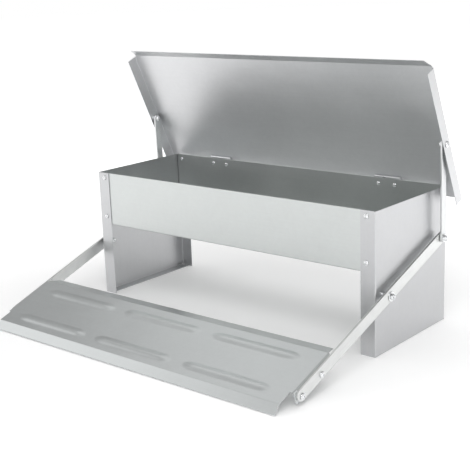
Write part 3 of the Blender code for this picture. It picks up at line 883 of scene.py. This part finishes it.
def ring_profile(outer, inner, height):
    """Profile of a washer or spacer on height 0, with its edges eased."""
    ease = min(CHAMFER * 0.6, height * 0.3)
    return [
        (inner + ease, height), (outer - ease, height), (outer, height - ease), (outer, ease),
        (outer - ease, 0), (inner + ease, 0), (inner, ease), (inner, height - ease),
    ]


def fastener(node, space, body, direction, draw):
    """Replaces a fastener's CAD node by what draw(bm, base, radius, length) makes along direction.

    base is the middle of the end that direction points away from, radius is half the node's width,
    and length is its size along direction.
    """
    low, high = node_box(node, space)
    size = high - low
    out = Vector(direction)
    axis = max(range(3), key=lambda k: abs(out[k]))
    base = (low + high) / 2
    base[axis] = low[axis] if out[axis] > 0 else high[axis]
    width = max(size[k] for k in range(3) if k != axis)
    bm = bmesh.new()
    draw(bm, base, width / 2, size[axis])
    solid_piece(node + "_metal", bm, [BRIGHT_ZINC, NYLON], space, body, node)


def draw_bolt(direction):
    def draw(bm, base, radius, length):
        grip = length - BOLT_HEAD
        crown = Vector(base) + Vector(direction) * grip
        shank = [(BOLT_RADIUS + CHAMFER, 0), (BOLT_RADIUS, -CHAMFER)]
        thread = threaded(BOLT_RADIUS, -grip * 0.45, -grip)
        spun(bm, socket_head(radius, BOLT_HEAD) + shank + thread, crown, direction)

    return draw


def draw_screw(direction):
    def draw(bm, base, radius, length):
        crown = Vector(base) + Vector(direction) * (length - SCREW_HEAD)
        shank = radius * 0.48
        thread = threaded(shank, -SHEET, -(length - SCREW_HEAD))
        spun(bm, cross_head(radius, SCREW_HEAD) + [(shank, 0)] + thread, crown, direction)

    return draw


def draw_rivet(direction):
    """A blind rivet: domed head with the end of its mandrel in the middle, and a swollen tail."""

    def draw(bm, base, radius, length):
        crown = Vector(base) + Vector(direction) * (length - RIVET_HEAD)
        hole = radius * 0.26
        shank = radius * 0.47
        tail = radius * 0.8
        down = -(length - RIVET_HEAD)
        swell = SHEET * 1.3
        head = [(0, RIVET_HEAD * 0.7), (hole * 0.8, RIVET_HEAD * 0.62), (hole, RIVET_HEAD * 0.45)]
        head.append((hole * 1.08, RIVET_HEAD * 0.92))
        head += dome(radius, RIVET_HEAD, RIVET_HEAD * 0.25, hole * 1.4)
        end = [(shank, 0), (shank, down + swell), (tail * 0.92, down + swell)]
        end += [(tail, down + swell * 0.7), (tail * 0.85, down + swell * 0.2)]
        end += [(tail * 0.5, down), (0, down)]
        spun(bm, head + end, crown, direction)

    return draw


def draw_nut(direction, insert=False):
    def draw(bm, base, radius, length):
        hex_nut(bm, base, direction, radius, length, BOLT_RADIUS + HOLE_CLEARANCE / 2, insert)

    return draw


def draw_ring(direction):
    def draw(bm, base, radius, length):
        spun(bm, ring_profile(radius, BOLT_RADIUS + HOLE_CLEARANCE, length), base, direction)

    return draw


def draw_link_nut(direction, rod_thickness):
    """The rod's end of the lower link: a stub of thread with a washer and a lock nut on it."""

    def draw(bm, base, radius, length):
        out = Vector(direction)
        face = Vector(base) + out * rod_thickness
        nut = length - rod_thickness - WASHER
        stub = [(0, length), (BOLT_RADIUS * 0.75, length), (BOLT_RADIUS, length - CHAMFER * 2)]
        spun(bm, stub + [(BOLT_RADIUS, 0), (0, 0)], base, direction)
        spun(bm, ring_profile(radius, BOLT_RADIUS + CHAMFER, WASHER), face, direction)
        corner = radius * 0.76
        seat = face + out * WASHER
        hex_nut(bm, seat, direction, corner, nut - CHAMFER, BOLT_RADIUS + CHAMFER, True)

    return draw


def housing_fasteners(side, label):
    front, out, inward = (0, -1, 0), (side, 0, 0), (-side, 0, 0)
    for level in ("upper", "lower"):
        fastener(f"post_screw_{label}_{level}", HOUSING, "housing", front, draw_screw(front))
        fastener(f"rear_rivet_{label}_{level}", HOUSING, "housing", front, draw_rivet(front))
    fastener("pivot_bolt_" + label, HOUSING, "housing", inward, draw_bolt(inward))
    fastener("pivot_spacer_" + label, HOUSING, "housing", out, draw_ring(out))
    fastener("pivot_washer_" + label, HOUSING, "housing", out, draw_ring(out))
    fastener("pivot_nut_" + label, HOUSING, "housing", out, draw_nut(out, True))


def linkage_fasteners(side, label):
    out, inward = (side, 0, 0), (-side, 0, 0)
    for end in ("rear", "front"):
        fastener(f"treadle_bolt_{label}_{end}", LEVER, "treadle", out, draw_bolt(out))
        fastener(f"treadle_nut_{label}_{end}", LEVER, "treadle", inward, draw_nut(inward))
    fastener("lower_link_bolt_" + label, LEVER, "treadle", inward, draw_bolt(inward))
    rod_low, rod_high = node_box("push_rod_" + label, HOUSING)
    stub = rod_high.x - rod_low.x + HOLE_CLEARANCE
    link_nut = draw_link_nut(out, stub)
    fastener("lower_link_nut_" + label, HOUSING, "push_rod_" + label, out, link_nut)
    fastener("upper_link_bolt_" + label, LID, "lid", out, draw_bolt(out))
    fastener("upper_link_spacer_" + label, LID, "lid", out, draw_ring(out))
    fastener("upper_link_nut_" + label, LID, "lid", inward, draw_nut(inward, True))


# ---------------------------------------------------------------- hinges

def evaluated_bmesh(thing):
    """The thing's mesh with its modifiers applied; the thing itself is removed."""
    depsgraph = bpy.context.evaluated_depsgraph_get()
    bm = bmesh.new()
    bm.from_object(thing, depsgraph)
    bpy.data.objects.remove(thing, do_unlink=True)
    return bm


def loose_object(name, bm):
    mesh = bpy.data.meshes.new(name)
    bmesh.ops.recalc_face_normals(bm, faces=bm.faces)
    bm.to_mesh(mesh)
    bm.free()
    thing = bpy.data.objects.new(name, mesh)
    bpy.context.scene.collection.objects.link(thing)
    return thing


def with_boxes_cut(bm, boxes):
    """The bmesh less some boxes, each (lowest corner, highest corner)."""
    tool = bmesh.new()
    for low, high in boxes:
        size = Vector(high) - Vector(low)
        centre = (Vector(high) + Vector(low)) / 2
        fitted = Matrix.Translation(centre) @ Matrix.Diagonal((*size, 1))
        bmesh.ops.create_cube(tool, size=1, matrix=fitted)
    solid, tool = loose_object("solid", bm), loose_object("tool", tool)
    step = solid.modifiers.new("cut", "BOOLEAN")
    step.operation = "DIFFERENCE"
    step.solver = "EXACT"
    step.object = tool
    cut = evaluated_bmesh(solid)
    bpy.data.objects.remove(tool, do_unlink=True)
    return cut


def leaf_section(knuckle, leaf, depth, steps=30):
    """Section of a hinge leaf about the pin: a flat leaf that hangs below its rolled knuckle."""
    inner = knuckle - leaf
    start = math.atan2(-math.sqrt(knuckle**2 - inner**2), -inner)
    arc = [start + (math.pi - start) * k / steps for k in range(steps + 1)]
    corners = [(-knuckle, -depth), (-inner, -depth)]
    return corners + [(knuckle * math.cos(a), knuckle * math.sin(a)) for a in arc]


def hinge_leaf(node, section, hole, run, cuts, space, body):
    """A leaf: its section and bore drawn out over run along X, less the knuckles that it lacks."""
    bm = plate_across_x([section, hole], *run, rim=0.0)
    bm = with_boxes_cut(bm, cuts)
    thing = solid_piece(node + "_metal", bm, [HINGE_ZINC], space, body, node)
    soften(thing, LEAF_BEVEL)


def hinge_pin(node, low, axis, radius, length):
    crown = [(0, length), (radius * 0.6, length - CHAMFER * 0.2), (radius, length - CHAMFER)]
    heel = [(radius, CHAMFER), (radius * 0.6, CHAMFER * 0.2), (0, 0)]
    bm = bmesh.new()
    spun(bm, crown + heel, (low.x, axis.y, axis.z), (1, 0, 0))
    solid_piece(node + "_metal", bm, [BRIGHT_ZINC], HOUSING, "housing", node)


def hinge(label):
    """A butt hinge: a leaf with two knuckles on the back wall and one with the third on the lid."""
    pin = f"hinge_{label}_pin"
    fixed = f"hinge_{label}_body_leaf"
    low, high = node_box(pin, HOUSING)
    axis = (low + high) / 2
    pin_radius = (high.z - low.z) / 2
    leaf_low, leaf_high = node_box(fixed, HOUSING)
    knuckle = leaf_high.z - axis.z
    gap = HOLE_CLEARANCE
    bore = pin_radius + gap
    third = (leaf_high.x - leaf_low.x) / 3
    reach = knuckle + gap
    run = (leaf_low.x, leaf_high.x)
    section = leaf_section(knuckle, knuckle - bore, axis.z - leaf_low.z)

    hanging = [(y + axis.y, z + axis.z) for y, z in section]
    middle_cut = (
        (leaf_low.x + third - gap, axis.y - reach, axis.z - reach),
        (leaf_high.x - third + gap, axis.y + reach, axis.z + reach),
    )
    hole = circle((axis.y, axis.z), bore)
    hinge_leaf(fixed, hanging, hole, run, [middle_cut], HOUSING, "housing")

    lying = [(-z, -y) for y, z in section]
    end_cuts = [
        ((leaf_low.x - gap, -reach, -reach), (leaf_low.x + third, reach, reach)),
        ((leaf_high.x - third, -reach, -reach), (leaf_high.x + gap, reach, reach)),
    ]
    hinge_leaf(f"hinge_{label}_lid_leaf", lying, circle((0, 0), bore), run, end_cuts, LID, "lid")

    hinge_pin(pin, low, axis, pin_radius, high.x - low.x)
    front, above = (0, -1, 0), (0, 0, 1)
    for end in ("inner", "outer"):
        fastener(f"hinge_{label}_body_rivet_{end}", HOUSING, "housing", front, draw_rivet(front))
        fastener(f"hinge_{label}_lid_rivet_{end}", LID, "lid", above, draw_rivet(above))


# ---------------------------------------------------------------- camera, light and floor

def camera():
    azimuth, elevation = CAMERA_AZIMUTH, CAMERA_ELEVATION
    ahead = Vector(
        (
            -math.sin(azimuth) * math.cos(elevation),
            math.cos(azimuth) * math.cos(elevation),
            -math.sin(elevation),
        )
    )
    right = Vector((math.cos(azimuth), math.sin(azimuth), 0))
    up = right.cross(ahead)
    turned_right = right * math.cos(CAMERA_ROLL) + up * math.sin(CAMERA_ROLL)
    turned_up = up * math.cos(CAMERA_ROLL) - right * math.sin(CAMERA_ROLL)
    data = bpy.data.cameras.new("camera")
    data.lens = CAMERA_LENS
    data.sensor_width = CAMERA_SENSOR
    thing = bpy.data.objects.new("camera", data)
    bpy.context.scene.collection.objects.link(thing)
    basis = Matrix((turned_right, turned_up, -ahead)).transposed().to_4x4()
    thing.matrix_world = Matrix.Translation(CAMERA_PLACE) @ basis
    bpy.context.scene.camera = thing


def floor():
    """A pale floor that glows further out, so that it runs into the white room unseen."""
    bm = bmesh.new()
    bmesh.ops.create_circle(bm, cap_ends=True, segments=96, radius=FLOOR_RADIUS)
    mesh = bpy.data.meshes.new("floor")
    bm.to_mesh(mesh)
    bm.free()
    shader = Shader("floor_white", 0.85, metallic=0.0)
    mottle = shader.noise(2.5, 3.0)
    shader.colour((0.90, 0.90, 0.90), (0.93, 0.93, 0.93), mottle)
    shader.shader.inputs["Specular IOR Level"].default_value = 0.1
    away = shader.node("ShaderNodeVectorMath", operation="LENGTH")
    shader.link(shader.coordinates, away.inputs[0])
    glow = map_range(shader.tree, away.outputs["Value"], FLOOR_GLOW_RANGE, FLOOR_GLOW)
    shader.shader.inputs["Emission Color"].default_value = (1, 1, 1, 1)
    shader.link(glow, shader.shader.inputs["Emission Strength"])
    mesh.materials.append(shader.material)
    thing = bpy.data.objects.new("floor", mesh)
    bpy.context.scene.collection.objects.link(thing)


def area_light(name, place, target, size, power, mirrored):
    data = bpy.data.lights.new(name, "AREA")
    data.shape = "DISK"
    data.size = size
    data.energy = power
    thing = bpy.data.objects.new(name, data)
    thing.visible_glossy = mirrored
    bpy.context.scene.collection.objects.link(thing)
    aim = (Vector(target) - Vector(place)).to_track_quat("-Z", "Y")
    thing.matrix_world = Matrix.Translation(place) @ aim.to_matrix().to_4x4()


def map_range(tree, source, before, after):
    made = tree.nodes.new("ShaderNodeMapRange")
    made.interpolation_type = "SMOOTHSTEP"
    made.inputs["From Min"].default_value = before[0]
    made.inputs["From Max"].default_value = before[1]
    made.inputs["To Min"].default_value = after[0]
    made.inputs["To Max"].default_value = after[1]
    tree.links.new(source, made.inputs["Value"])
    return made.outputs["Result"]


def mirrored_room(tree):
    """The room's brightness by direction: less overhead, and less behind on the left."""
    direction = tree.nodes.new("ShaderNodeTexCoord").outputs["Generated"]
    split = tree.nodes.new("ShaderNodeSeparateXYZ")
    tree.links.new(direction, split.inputs[0])
    top = (ROOM_LIGHT, ROOM_LIGHT * TOP_LIGHT)
    overhead = map_range(tree, split.outputs["Z"], TOP_RANGE, top)
    backwards = tree.nodes.new("ShaderNodeVectorMath")
    backwards.operation = "DOT_PRODUCT"
    backwards.inputs[1].default_value = DARK_SIDE
    tree.links.new(direction, backwards.inputs[0])
    behind = map_range(tree, backwards.outputs["Value"], DARK_RANGE, (1.0, DARK_SIDE_LIGHT))
    product = tree.nodes.new("ShaderNodeMath")
    product.operation = "MULTIPLY"
    tree.links.new(overhead, product.inputs[0])
    tree.links.new(behind, product.inputs[1])
    return product.outputs[0]


def room():
    """A bright room for the metal to mirror, which the camera itself sees as plain white."""
    world = bpy.data.worlds.new("room")
    bpy.context.scene.world = world
    world.use_nodes = True
    tree = world.node_tree
    mirrored = tree.nodes["Background"]
    tree.links.new(mirrored_room(tree), mirrored.inputs["Color"])
    seen = tree.nodes.new("ShaderNodeBackground")
    seen.inputs["Color"].default_value = (1, 1, 1, 1)
    choice = tree.nodes.new("ShaderNodeMixShader")
    rays = tree.nodes.new("ShaderNodeLightPath")
    tree.links.new(rays.outputs["Is Camera Ray"], choice.inputs["Fac"])
    tree.links.new(mirrored.outputs[0], choice.inputs[1])
    tree.links.new(seen.outputs[0], choice.inputs[2])
    tree.links.new(choice.outputs[0], tree.nodes["World Output"].inputs["Surface"])


bpy.context.scene.view_settings.view_transform = "Standard"
camera()
floor()
room()
for LAMP in LAMPS:
    area_light(*LAMP)
trough()
lid()
treadle()
for SIDE, LABEL in ((1, "right"), (-1, "left")):
    side_panel(SIDE, LABEL)
    lever_arm(LABEL)
    push_rod(LABEL)
    hinge(LABEL)
    housing_fasteners(SIDE, LABEL)
    linkage_fasteners(SIDE, LABEL)
